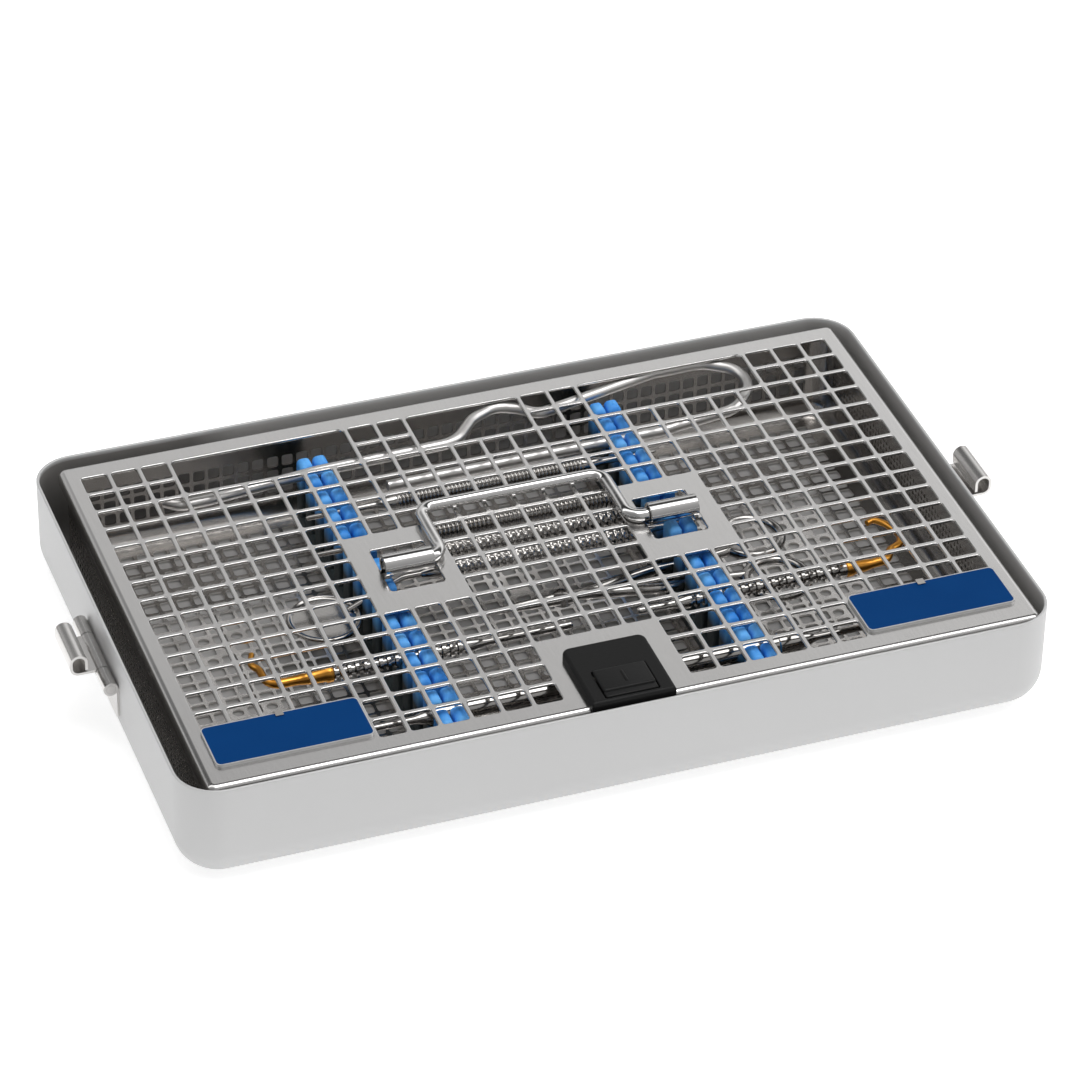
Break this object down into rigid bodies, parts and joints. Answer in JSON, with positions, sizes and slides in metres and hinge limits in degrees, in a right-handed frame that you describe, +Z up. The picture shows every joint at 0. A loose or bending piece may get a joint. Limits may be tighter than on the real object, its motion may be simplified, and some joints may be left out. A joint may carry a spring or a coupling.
{
  "type": "sterilization container",
  "caption": "Open flat sterilization container with side clasps, holding a loaded wash tray: meshed hinged lid, wire handle, snap latch, silicone combs.",
  "frame": {"origin": "middle of the container's underside, on the surface that it stands on", "axes": "+X along the container's length, towards the right-hand clasp; +Y to the rear, where the tray's lid is hinged; +Z up"},
  "size_m": [0.3142, 0.185, 0.0416],
  "materials": {
    "tub_aluminium": "satin anodised",
    "clasp_steel": "satin",
    "tray_steel": "electropolished satin",
    "instrument_steel": "polished",
    "comb_silicone": "soft matte",
    "label_blue": "anodised satin",
    "latch_black": "moulded matte"
  },
  "bodies": {
    "container": {"tub_shell": "tub_aluminium", "left_clasp_plate": "clasp_steel", "right_clasp_plate": "clasp_steel", "left_clasp_pin": "clasp_steel", "right_clasp_pin": "clasp_steel", "clasp_rivets": "clasp_steel"},
    "left_clasp": {"left_clasp_lever": "clasp_steel"},
    "right_clasp": {"right_clasp_lever": "clasp_steel"},
    "tray": {"basket": "tray_steel", "basket_floor": "tray_steel", "hinge_pins": "tray_steel", "left_comb_rail": "tray_steel", "right_comb_rail": "tray_steel", "left_silicone_comb": "comb_silicone", "right_silicone_comb": "comb_silicone", "retractor_bow": "instrument_steel", "knurled_instrument_1": "instrument_steel", "knurled_instrument_2": "instrument_steel", "knurled_instrument_3": "instrument_steel", "knurled_instrument_4": "instrument_steel", "gold_tipped_scaler_left": "instrument_steel", "gold_tipped_scaler_right": "instrument_steel", "ring_scissors": "instrument_steel", "front_probe": "instrument_steel"},
    "tray_lid": {"lid_panel": "tray_steel", "lid_mesh": "tray_steel", "left_handle_eye": "tray_steel", "right_handle_eye": "tray_steel", "left_label_plate": "label_blue", "right_label_plate": "label_blue", "label_clips": "tray_steel", "latch_housing": "latch_black", "latch_pin": "tray_steel", "latch_spring": "tray_steel"},
    "latch": {"latch_button": "latch_black", "latch_hook": "tray_steel"},
    "handle": {"carry_handle": "tray_steel"}
  },
  "joints": [
    {"name": "left_clasp_turn", "type": "hinge", "parent": "container", "child": "left_clasp", "pos_m": [-0.1466, 0, 0.0246], "axis": [0, 1, 0], "range_deg": [-90, 40]},
    {"name": "right_clasp_turn", "type": "hinge", "parent": "container", "child": "right_clasp", "pos_m": [0.1466, 0, 0.0246], "axis": [0, -1, 0], "range_deg": [-90, 40]},
    {"name": "tray_lift", "type": "slide", "parent": "container", "child": "tray", "axis": [0, 0, 1], "range_m": [0, 0.08]},
    {"name": "tray_lid_open", "type": "hinge", "parent": "tray", "child": "tray_lid", "pos_m": [0.0019, 0.0866, 0.033], "axis": [-1, 0, 0], "range_deg": [0, 80]},
    {"name": "latch_press", "type": "hinge", "parent": "tray_lid", "child": "latch", "pos_m": [0.001, -0.0764, 0.0369], "axis": [1, 0, 0], "range_deg": [0, 4], "stiffness_Nm_per_rad": 0.05, "springref_deg": -2.86},
    {"name": "handle_swing", "type": "hinge", "parent": "tray_lid", "child": "handle", "pos_m": [0.0007, -0.0008, 0.0379], "axis": [1, 0, 0], "range_deg": [0, 180]}
  ]
}
